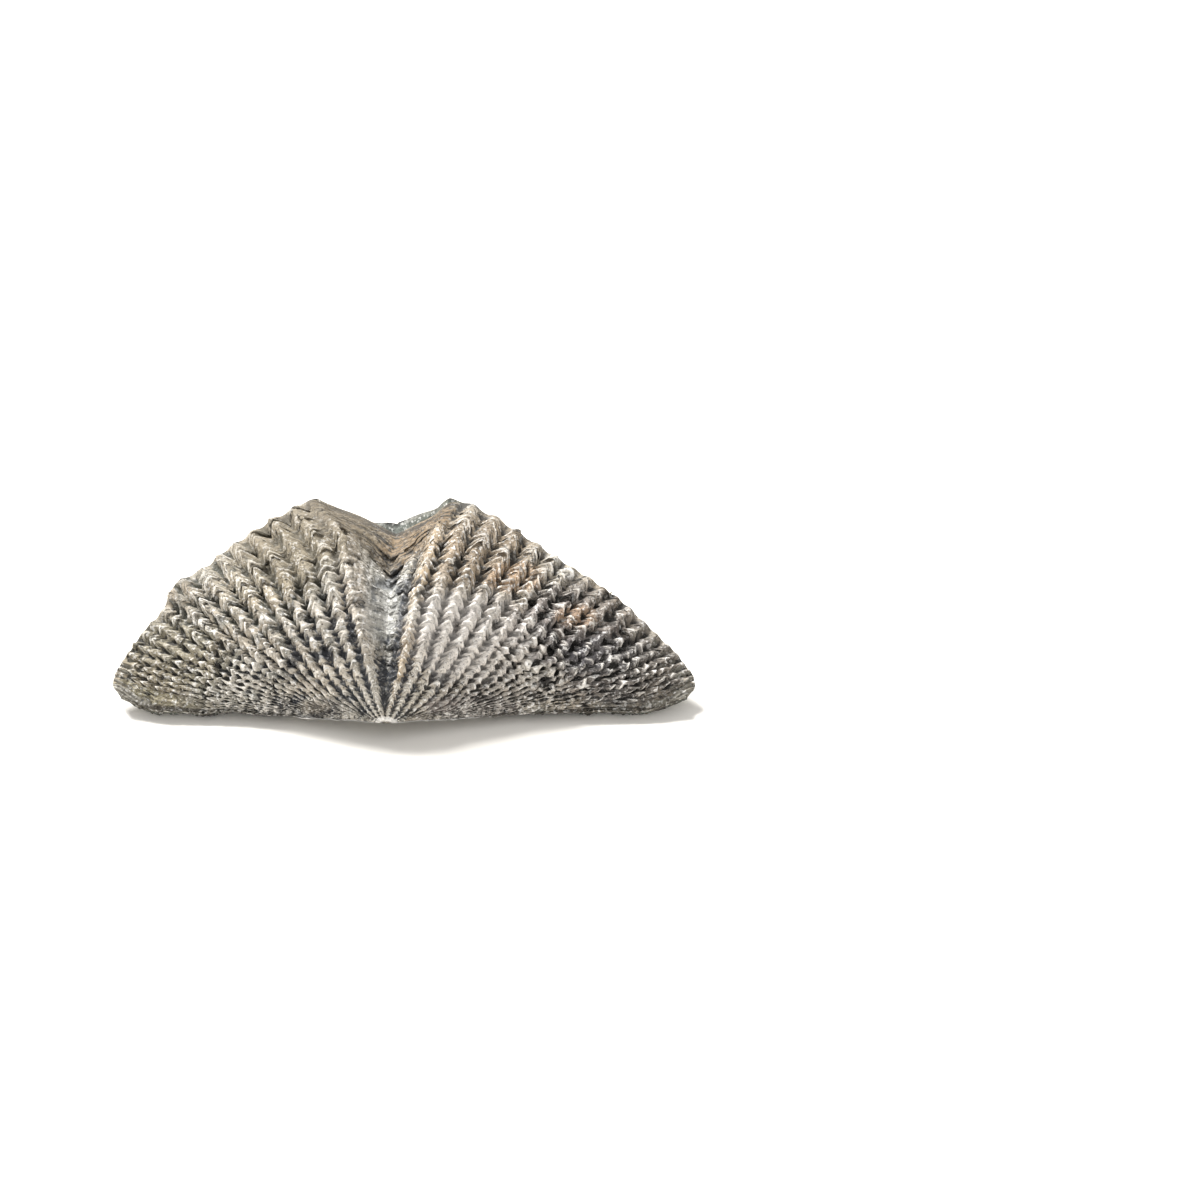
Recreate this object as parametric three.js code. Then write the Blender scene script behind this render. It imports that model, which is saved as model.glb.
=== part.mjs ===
import * as THREE from 'three';

// A fossil brachiopod: the two valves of a wide-hinged, ribbed shell, locked shut and turned to stone.
// Millimetres. The shell is laid out with x along the hinge line, y from the hinge to the front
// margin and z towards the pedicle valve, and is turned at the end to the pose it rests in.

const hingeRight = 19.2; // middle of the hinge to the right ear
const hingeLeft = 17.15; // middle of the hinge to the left ear, which is worn shorter
const valveGap = 0.3; // clearance between the two valves
const ribHeight = 0.55; // from trough to crest, as a share of a rib's width
const ribWidest = 1.5; // width at which a rib's height stops growing
const pedicleBeak = [0, -1.34, 2.0];
const brachialBeak = [0, -0.12, -0.2];
const pedicleCoil = 1.2; // radians the pedicle valve curls from margin to beak
const brachialCoil = 1.5; // the same for the brachial valve, which is flat again close to its beak
const earRidge = 0.1; // share of the beak height that runs out evenly along the hinge
const earEnd = 0.38; // thickness left at the blunt end of each ear
const earRound = 1.1; // how far the hinge line bends forward at its ends, rounding the ear corners
const rimShow = 0.8; // how far the brachial rim stands out past the tongue of the sulcus
const openingWidth = 3.0; // triangular opening under the pedicle beak
const openingDepth = 0.4;
const restPitch = 0.5568; // radians the front is raised when the shell lies on its ears and brachial fold

// Each margin runs from the middle of the sulcus (0) by its shoulder (1) to the end of the hinge (2).
// A row holds the place along it, forward, up, and what is added sideways.
const right = {
  sign: 1,
  hinge: hingeRight,
  shoulder: 0.187,
  rimEnd: 0.32,
  shoulderFront: 0.198,
  ribPull: 0.479,
  ribRate: 11.65,
  ribGain: 7.38,
  ribCrowd: 0.66,
  ribCount: 22,
  margin: [
    [0, 12.8, -3.2, 0],
    [0.5, 13.15, -1.5, 0],
    [0.9, 13.6, 0, 0],
    [1.04, 13.75, 0.45, 0],
    [1.13, 13.3, 0.45, 0],
    [1.3, 11.5, 0.25, 0],
    [1.5, 9.55, 0.1, 0],
    [1.7, 7.35, 0, 0],
    [1.808, 5, 0, 0.67],
    [1.868, 3.65, 0, 1.01],
    [1.916, 2.4, 0, 1.01],
    [1.962, 1, 0, 0.5],
    [2, 0, 0, -0.7],
  ],
};
const left = {
  sign: -1,
  hinge: hingeLeft,
  shoulder: 0.205,
  rimEnd: 0.1,
  shoulderFront: 0.268,
  ribPull: 0.441,
  ribRate: 10.73,
  ribGain: 2.75,
  ribCrowd: 0.485,
  ribCount: 22,
  margin: [
    [0, 12.8, -3.2, 0],
    [0.5, 13.7, -1.6, 0],
    [0.9, 13.9, 0, 0],
    [1.02, 13.95, 0.45, 0],
    [1.13, 13.2, 0.4, 0],
    [1.33, 11.75, 0.25, 0],
    [1.53, 9.8, 0.1, 0],
    [1.633, 8.35, 0, 0.86],
    [1.7, 6.75, 0, 0.69],
    [1.8, 4.75, 0, 0.99],
    [1.863, 3.4, 0, 1.12],
    [1.908, 2.3, 0, 0.95],
    [1.958, 1, 0, 0.44],
    [2, 0, 0, -0.6],
  ],
};

const pedicleGrowth = [
  0.08, 0.16, 0.24, 0.31, 0.37, 0.43, 0.49, 0.55, 0.61, 0.67, 0.72, 0.77, 0.82, 0.87, 0.91, 0.96, 1,
];
const brachialGrowth = [0.08, 0.16, 0.24, 0.32, 0.4, 0.48, 0.57, 0.66, 0.75, 0.84, 0.92, 1];
const inwardSteps = [0.1, 0.4, 0.7, 1];

function clamp(value) {
  return Math.min(Math.max(value, 0), 1);
}

function ease(value) {
  const t = clamp(value);
  return t * t * (3 - 2 * t);
}

// Monotone cubic through one column of a margin.
function along(rows, column, place) {
  const slope = (i) => (rows[i + 1][column] - rows[i][column]) / (rows[i + 1][0] - rows[i][0]);
  const tangent = (i) => {
    if (i === 0) return slope(0);
    if (i === rows.length - 1) return slope(i - 1);
    const before = slope(i - 1);
    const after = slope(i);
    return before * after > 0 ? (2 * before * after) / (before + after) : 0;
  };
  let i = 0;
  while (i < rows.length - 2 && place >= rows[i + 1][0]) i += 1;
  const width = rows[i + 1][0] - rows[i][0];
  const t = (place - rows[i][0]) / width;
  const startShare = 2 * t ** 3 - 3 * t ** 2 + 1;
  const bend = (t ** 3 - 2 * t ** 2 + t) * tangent(i) + (t ** 3 - t ** 2) * tangent(i + 1);
  return startShare * rows[i][column] + (1 - startShare) * rows[i + 1][column] + bend * width;
}

// How far out a rib sits at one growth stage: 0 on the middle line, 1 on the hinge line.
function spreadOf(side, rib, growth) {
  const shoulder = side.shoulder + (side.shoulderFront - side.shoulder) * ease((growth - 0.75) / 0.25);
  if (rib <= 1) return rib * shoulder;
  const pull = (growth ** side.ribPull * (1 - side.shoulder)) / (1 - shoulder);
  const outward = (number) => {
    const root = Math.sqrt(side.ribRate ** 2 + 4 * side.ribGain * (number - 1));
    return shoulder + (root - side.ribRate) / (2 * side.ribGain * pull);
  };
  const spread = outward(rib);
  const end = outward(side.ribCount);
  const start = side.ribCrowd;
  if (rib === side.ribCount) return 1;
  if (spread <= start) return spread;
  const x = (spread - start) / (end - start);
  const squeeze = (end - start) / (1 - start);
  return start + ((end - start) * x) / (1 + (squeeze - 1) * x);
}

// Point of the smooth shell margin at one growth stage, before it is scaled and coiled.
function outlinePoint(side, rib, growth, rim) {
  const spread = spreadOf(side, rib, growth);
  const shoulder = spreadOf(side, 1, growth);
  const place = spread < shoulder ? spread / shoulder : 1 + (spread - shoulder) / (1 - shoulder);
  const tongue = growth ** 0.35;
  const up = along(side.margin, 2, place);
  const show = rim * rimShow * ease(1 - spread / side.rimEnd) * growth ** 4;
  const middle = 0.25 * clamp(1 - spread / 0.2);
  return [
    side.sign * (spread * side.hinge + along(side.margin, 3, place)) + middle,
    along(side.margin, 1, place) + show,
    up < 0 ? up * tongue : up,
  ];
}

// Width of a rib, measured square to the line from the beak.
function ribWidth(side, rib, growth) {
  const before = Math.max(rib - 0.25, 0);
  const after = Math.min(rib + 0.25, side.ribCount);
  const [x, y] = outlinePoint(side, before, growth, 0);
  const [nextX, nextY] = outlinePoint(side, after, growth, 0);
  return Math.abs(x * nextY - y * nextX) / Math.hypot(x, y) / (after - before);
}

// The same point on the ribbed margin. The sulcus and the end of the hinge carry no ribs.
function marginPoint(side, rib, growth, rim) {
  const [x, y, z] = outlinePoint(side, rib, growth, rim);
  const height = ribHeight * Math.min(ribWidth(side, rib, growth), ribWidest);
  const fade = clamp((rib - 0.5) / 0.5) * clamp((side.ribCount - rib) / 3);
  return [x, y, z + 0.5 * height * Math.cos(2 * Math.PI * rib) * fade];
}

function pedicleTurn(growth) {
  return pedicleCoil * (1 - growth);
}

function brachialTurn(growth) {
  return -brachialCoil * (1 - growth) * growth ** 0.9;
}

// A valve is its margin grown from nothing: scaled by the growth stage, coiled about the hinge
// and carried back to the beak.
function valvePoint(beak, turnAt, side, rib, growth, rim) {
  const [x, y, z] = marginPoint(side, rib, growth, rim);
  const turn = turnAt(growth);
  const reach = (1 - earRidge) * (1 - growth) ** 3 + earRidge * (1 - growth);
  const end = rib === side.ribCount ? earEnd * Math.sign(beak[2]) : 0;
  return [
    beak[0] * reach + growth * x,
    beak[1] * reach + growth * (y * Math.cos(turn) - z * Math.sin(turn)),
    beak[2] * reach + growth * (y * Math.sin(turn) + z * Math.cos(turn) + end),
  ];
}

// Every column of a valve follows a rib, from the left ear to the right ear: four to each of the wide
// ribs and two to each of the narrow ones. Close to the beak only every second, fourth or eighth
// column is kept.
function ribColumns(step) {
  const ribs = [];
  for (let rib = 0; rib <= 22; rib += rib < 7 ? 0.25 : 0.5) ribs.push(rib);
  const columns = ribs.map((rib) => ({ side: right, rib, at: rib }));
  for (const rib of ribs.slice(1)) columns.unshift({ side: left, rib, at: -rib });
  const last = columns.length - 1;
  return columns.filter((column, i) => i === last || i % step === 0);
}

function columnStep(growth) {
  if (growth < 0.12) return 8;
  if (growth < 0.2) return 4;
  return growth < 0.3 ? 2 : 1;
}

// The pedicle valve's back is sunk where a three-cornered opening under the beak is filled with stone.
// Share is 0 at the beak and 1 on the hinge line.
function openingAt(x, share) {
  return openingDepth * ease(0.7 + (share * openingWidth) / 2 - Math.abs(x));
}

// Closed surface of a valve: outside, then the face it shares with the other valve, then the back.
function valveSurface(beak, turnAt, growthStages, lift, facing, rim) {
  const points = [];
  const triangles = [];
  const put = (x, y, z, at) => ({ index: points.push([x, y, z + lift]) - 1, at });
  const face = (a, b, c) => {
    if (a === b || b === c || c === a) return;
    triangles.push(facing > 0 ? [a, b, c] : [a, c, b]);
  };
  // Triangles between two rows of points, stepping along whichever row is behind.
  const stitch = (inner, outer) => {
    let i = 0;
    let j = 0;
    while (i < inner.length - 1 || j < outer.length - 1) {
      const innerNext = i < inner.length - 1 ? inner[i + 1].at : Infinity;
      const outerNext = j < outer.length - 1 ? outer[j + 1].at : Infinity;
      if (innerNext < outerNext) {
        face(inner[i].index, inner[i + 1].index, outer[j].index);
        i += 1;
      } else {
        face(inner[i].index, outer[j + 1].index, outer[j].index);
        j += 1;
      }
    }
  };

  const pole = put(...beak, 0);
  const ridge = [pole];
  let row = [pole];
  for (const growth of growthStages) {
    const next = ribColumns(columnStep(growth)).map(({ side, rib, at }) => {
      return put(...valvePoint(beak, turnAt, side, rib, growth, rim), at);
    });
    stitch(row, next);
    ridge.unshift(next[0]);
    ridge.push(next[next.length - 1]);
    row = next;
  }

  const edge = row;
  const columns = ribColumns(1);
  const last = columns.length - 1;
  for (const inward of inwardSteps) {
    const next = columns.map(({ side, rib, at }, i) => {
      const [x, y] = points[edge[i].index];
      if (inward < 1 && (i === 0 || i === last)) return edge[i];
      const smoothRib = rib <= 1 ? rib : Math.floor(rib) + 0.25;
      const height = marginPoint(side, smoothRib, 1, rim)[2] * (1 - inward) ** 1.5;
      const hingeEnd = points[edge[side.sign < 0 ? 0 : last].index][0];
      const foot = hingeEnd * spreadOf(side, rib, 1);
      if (inward < 1) return put(x + (foot - x) * inward, y * (1 - inward), height, at);
      return put(foot, facing > 0 ? openingAt(foot, 1) : 0, 0, at);
    });
    stitch(row, next);
    row = next;
  }

  const byWidth = ({ index }) => ({ index, at: points[index][0] });
  const middle = ridge.map(({ index, at }, i) => {
    if (i === 0 || i === ridge.length - 1) return { index, at };
    const [x, y, z] = points[index];
    return put(x, y * 0.55 + (facing > 0 ? openingAt(x, 0.5) : 0), (z - lift) * 0.5, at);
  });
  stitch(middle.map(byWidth), ridge.map(byWidth));
  stitch(row.map(byWidth), middle.map(byWidth));
  return { points, triangles };
}

// The hinge line bends forward towards its ends, so that the ears have rounded corners.
function roundEars([x, y, z]) {
  const outward = x > 0 ? x / hingeRight : -x / hingeLeft;
  return [x, y + earRound * ease((outward - 0.8) / 0.2) ** 1.5 * clamp(1 - y / 3.2), z];
}

function meshOf(name, { points, triangles }, colour) {
  const geometry = new THREE.BufferGeometry();
  const rounded = points.map(roundEars).flat();
  geometry.setAttribute('position', new THREE.Float32BufferAttribute(rounded, 3));
  geometry.setIndex(triangles.flat());
  geometry.rotateX(restPitch);
  geometry.computeVertexNormals();
  const material = new THREE.MeshStandardMaterial({ color: colour, roughness: 0.85, metalness: 0 });
  const mesh = new THREE.Mesh(geometry, material);
  mesh.name = name;
  return mesh;
}

const pedicle = valveSurface(pedicleBeak, pedicleTurn, pedicleGrowth, valveGap / 2, 1, 0);
const brachial = valveSurface(brachialBeak, brachialTurn, brachialGrowth, -valveGap / 2, -1, 1);
const valves = [
  meshOf('pedicle_valve', pedicle, '#a59e92'),
  meshOf('brachial_valve', brachial, '#8f8a7e'),
];

// The shell stands on z = 0 with the middle of its outline at the origin.
const box = new THREE.Box3();
for (const valve of valves) box.expandByObject(valve);
const centre = box.getCenter(new THREE.Vector3());
for (const valve of valves) valve.geometry.translate(-centre.x, -centre.y, -box.min.z);

const fossil = new THREE.Group();
fossil.name = 'brachiopod_fossil';
fossil.add(...valves);

export default fossil;
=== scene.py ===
import math

import bpy
import numpy as np
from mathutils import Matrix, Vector


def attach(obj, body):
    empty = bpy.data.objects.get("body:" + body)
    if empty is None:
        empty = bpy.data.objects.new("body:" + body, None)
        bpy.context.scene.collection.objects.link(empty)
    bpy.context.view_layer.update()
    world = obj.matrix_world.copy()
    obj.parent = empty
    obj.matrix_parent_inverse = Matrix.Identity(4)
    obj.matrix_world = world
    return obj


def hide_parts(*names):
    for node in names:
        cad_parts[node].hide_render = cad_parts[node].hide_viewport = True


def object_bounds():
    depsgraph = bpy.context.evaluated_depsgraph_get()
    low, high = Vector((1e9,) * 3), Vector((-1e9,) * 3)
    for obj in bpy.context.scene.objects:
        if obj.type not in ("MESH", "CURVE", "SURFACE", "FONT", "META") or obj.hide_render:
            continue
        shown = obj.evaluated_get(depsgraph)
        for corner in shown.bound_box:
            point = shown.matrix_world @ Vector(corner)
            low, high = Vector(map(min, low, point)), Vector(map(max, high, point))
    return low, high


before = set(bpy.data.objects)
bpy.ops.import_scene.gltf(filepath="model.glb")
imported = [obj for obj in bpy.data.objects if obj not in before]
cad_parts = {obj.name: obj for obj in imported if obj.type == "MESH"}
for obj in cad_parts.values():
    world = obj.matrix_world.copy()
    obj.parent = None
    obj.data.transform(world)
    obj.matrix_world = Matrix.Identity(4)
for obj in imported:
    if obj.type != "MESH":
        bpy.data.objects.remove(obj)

cadLow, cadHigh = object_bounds()

# The shell is worked out in millimetres, x along the hinge, y from the hinge to the front margin and
# z towards the upper valve, and is then tipped and moved to where the frame's valves lie.
shell = {
    "tip": 0.5568,          # radians that the front is raised
    "hingeRight": 19.2,
    "hingeLeft": 17.15,
    "ribHeight": 0.55,      # trough to crest, as a share of a rib's width
    "earRidge": 0.1,        # share of the beak height that runs out evenly along the hinge
    "earEnd": 0.38,         # thickness left at the blunt end of an ear
    "earRound": 1.1,        # how far the hinge line bends forward at its ends
    "seamGap": 0.05,        # between the two valves
    "ripple": 0.10,         # slow unevenness of the whole surface
    "lipEnd": 6.6,          # how far out the lip beside the beak reaches
    "rings": 35,            # growth scales from beak to margin
    "firstRing": 0.03,      # growth stage of the first scale
    "ringSpread": 1.2,      # over 1, scales widen to the front
    "ringSway": 0.22,       # unevenness of their widths
    "ringSteps": [0.0, 0.17, 0.42, 0.67, 0.86, 0.97],
    "backSteps": 10,
}

# Margins: place along the side (0 mid groove, 1 its shoulder, 2 end of the hinge), forward, up, sideways.
rightSide = {
    "sign": 1, "hinge": shell["hingeRight"], "shoulder": 0.187, "shoulderFront": 0.198,
    "pull": 0.479, "rate": 11.65, "gain": 7.38, "crowd": 0.66, "ribs": 22.0, "rimEnd": 0.32,
    "margin": np.array([
        [0, 12.8, -3.2, 0], [0.5, 13.15, -1.5, 0], [0.9, 13.6, 0.0, 0], [1.04, 13.75, 0.45, 0],
        [1.13, 13.3, 0.45, 0], [1.3, 11.5, 0.25, 0], [1.5, 9.55, 0.1, 0], [1.7, 7.35, 0, 0],
        [1.808, 5, 0, 0.67], [1.868, 3.65, 0, 1.01], [1.916, 2.4, 0, 1.01], [1.962, 1, 0, 0.5],
        [2, 0, 0, -0.7],
    ]),
}
leftSide = {
    "sign": -1, "hinge": shell["hingeLeft"], "shoulder": 0.205, "shoulderFront": 0.268,
    "pull": 0.441, "rate": 10.73, "gain": 2.75, "crowd": 0.485, "ribs": 22.0, "rimEnd": 0.1,
    "margin": np.array([
        [0, 12.8, -3.2, 0], [0.5, 13.7, -1.6, 0], [0.9, 13.9, 0.0, 0], [1.02, 13.95, 0.45, 0],
        [1.13, 13.2, 0.4, 0], [1.33, 11.75, 0.25, 0], [1.53, 9.8, 0.1, 0], [1.633, 8.35, 0, 0.86],
        [1.7, 6.75, 0, 0.69], [1.8, 4.75, 0, 0.99], [1.863, 3.4, 0, 1.12], [1.908, 2.3, 0, 0.95],
        [1.958, 1, 0, 0.44], [2, 0, 0, -0.6],
    ]),
}


def ease(value):
    # 3t^2 - 2t^3, held at 0 and 1 outside.
    t = np.clip(value, 0, 1)
    return t * t * (3 - 2 * t)


def rise(value, start, over):
    # Eases from 0 at the start to 1 a stretch later.
    return ease((value - start) / over)


def along(rows, column, place):
    # Monotone cubic through one column: each inner slope is the harmonic mean of its two neighbours.
    x, y = rows[:, 0], rows[:, column]
    slope = np.diff(y) / np.diff(x)
    product = slope[:-1] * slope[1:]
    total = np.where(product > 0, slope[:-1] + slope[1:], 1)
    tangent = np.concatenate([slope[:1], np.where(product > 0, 2 * product / total, 0), slope[-1:]])
    i = np.clip(np.searchsorted(x, place, side="right") - 1, 0, len(x) - 2)
    width = x[i + 1] - x[i]
    t = (place - x[i]) / width
    start = 2 * t**3 - 3 * t**2 + 1
    bend = (t**3 - 2 * t**2 + t) * tangent[i] + (t**3 - t**2) * tangent[i + 1]
    return start * y[i] + (1 - start) * y[i + 1] + bend * width


def softNoise(points, cell, seed):
    # Random numbers on a cubic lattice, blended between the lattice points by smooth steps; -1 to 1.
    lattice = np.random.default_rng(seed).random((24, 24, 24)) * 2 - 1
    scaled = np.asarray(points) / cell
    base = np.floor(scaled).astype(int)
    t = scaled - base
    t = t * t * (3 - 2 * t)
    total = 0
    for dx in (0, 1):
        for dy in (0, 1):
            for dz in (0, 1):
                i, j, k = (base[..., axis] + step for axis, step in enumerate((dx, dy, dz)))
                corner = lattice[i % 24, j % 24, k % 24]
                weight = ((t[..., 0] if dx else 1 - t[..., 0]) * (t[..., 1] if dy else 1 - t[..., 1])
                          * (t[..., 2] if dz else 1 - t[..., 2]))
                total = total + corner * weight
    return total


def spreadOf(side, rib, growth):
    # Place of a rib between the middle (0) and the hinge (1): the ribs narrow outwards by a quadratic,
    # and those that would pass the hinge line at an early stage are crowded up to it.
    shoulder = side["shoulder"] + (side["shoulderFront"] - side["shoulder"]) * ease((growth - 0.75) / 0.25)
    pull = growth ** side["pull"] * (1 - side["shoulder"]) / (1 - shoulder)

    def outward(number):
        root = np.sqrt(side["rate"] ** 2 + 4 * side["gain"] * np.maximum(number - 1, 0))
        return shoulder + (root - side["rate"]) / (2 * side["gain"] * pull)

    spread, end, start = outward(rib), outward(side["ribs"]), side["crowd"]
    x = np.clip((spread - start) / (end - start), 0, 1)
    squeeze = (end - start) / (1 - start)
    crowded = start + (end - start) * x / (1 + (squeeze - 1) * x)
    return np.where(rib <= 1, rib * shoulder, np.where(spread > start, crowded, spread)), shoulder


def marginPoint(side, rib, growth, rim):
    # The margin at one growth stage: spread gives x, the side's outline gives y and z.
    spread, shoulder = spreadOf(side, rib, growth)
    place = np.where(spread < shoulder, spread / shoulder, 1 + (spread - shoulder) / (1 - shoulder))
    up = along(side["margin"], 2, np.sqrt(place**2 + 0.02) * (1 - 0.005 * np.clip(place, 0, 2)))
    up = np.where(up < 0, up * growth**0.35, up)
    show = rim * ease((side["rimEnd"] - spread) / side["rimEnd"]) * growth**4
    x = side["sign"] * (spread * side["hinge"] + along(side["margin"], 3, place))
    x = x + 0.25 * np.clip(1 - spread / 0.2, 0, 1)
    return x, along(side["margin"], 1, place) + show, up, spread


def ribColumns(count):
    # Rib number of each column from the left ear by the middle to the right ear, closer in the groove.
    inner = 32
    steps = np.arange(count + 1)
    leftRib = np.interp(steps, [0, count - inner, count], [leftSide["ribs"], 1, 0])
    rightRib = np.interp(steps, [0, inner, count], [0, 1, rightSide["ribs"]])
    return leftRib, rightRib[1:]


def growthRows():
    # Stages of the rows: every growth scale has the same few steps, and scales widen to the front.
    number = np.arange(shell["rings"] + 1)
    share = number / shell["rings"]
    sway = shell["ringSway"] / shell["rings"] * np.sin(2.4 * number) * (1 - share) ** 0.3 * share**0.5
    edges = shell["firstRing"] + (1 - shell["firstRing"]) * share ** shell["ringSpread"] + sway
    steps = np.array(shell["ringSteps"])
    stage = edges[:-1, None] + np.diff(edges)[:, None] * steps
    ring = np.repeat(np.arange(shell["rings"]), len(steps))
    phase = np.tile(steps, shell["rings"])
    width = np.repeat(np.diff(edges), len(steps))
    return (np.append(stage.ravel(), 1.0), np.append(ring, shell["rings"] - 1),
            np.append(phase, 1.0), np.append(width, width[-1]))


# The groove down the upper valve, in growth stages, rib widths and millimetres.
groove = {
    "leftFall": 0.72,       # how much slower its left side falls than its right
    "furrowEnd": 0.5,       # rib widths in from the first rib where the right furrow ends
    "wallStage": 0.66,      # where the smooth walls begin in the middle of the groove
    "wallDelay": 0.12,      # how much later they begin at the first rib
    "wallCrest": 0.8,       # where they begin outside the first rib
    "wallRipple": 0.035,
    "besideAt": 0.72,       # rib widths in from the first rib where painted shade gathers beside the walls
    "pitStage": 0.7,        # a dark hollow in the middle of the groove
    "pitAcross": -0.15,
    "pitWide": 0.55,
    "pitLong": 0.22,
    "pitDepth": 0.12,
}

# Where each feature comes in: its start, and the stretch over which it grows.
zones = {
    # Growth stages, 0 at the beak to 1 at the margin.
    "grooveOpens": (0.2, 0.32),
    "beadsForward": (0.3, 0.35),
    "grooveSettles": (0.5, 0.12),
    "scalesPoint": (0.45, 0.4),
    "scalesSag": (0.5, 0.35),
    "ribsFlatten": (0.45, 0.5),
    "earForward": (0.6, 0.15),
    "margin": (0.93, 0.07),
    # Darker towards the margin from here.
    "darkerAtMargin": (0.97, 0.025),
    "stripForward": (0.2, 0.2),
    # Rib numbers, counted from the middle of the groove.
    "wallOutward": (1.1, 0.6),
    "beadsOutward": (18, 3),
    "outerRibs": (15, 4),
    "leftEar": (17, 0.8),
    "rightEar": (18, 1.5),
    "ledge": (17.2, 0.8),
    "strip": (20.1, 0.6),
    # Where the painted highlight along the lip comes in.
    "lipHighlight": (20.9, 0.3),
    "lipShape": (21.2, 0.5),
}


def crestOf(rib):
    # 1 on a rib's crest and 0 in the furrow, by |cos(pi rib)|: broad crests and narrow furrows.
    return np.abs(np.cos(np.pi * rib))


def pointOf(rib):
    # 1 on a rib's crest and 0 in the furrow, in straight lines, for edges that come to a point.
    return 1 - 2 * np.abs(rib - np.round(rib))


def intoGroove(side, rib, growth):
    # How many rib widths a point lies inside the first rib's crest, towards the middle of the groove.
    return np.maximum(1 - rib, 0) * side["shoulder"] * side["rate"] * growth ** side["pull"]


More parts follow.
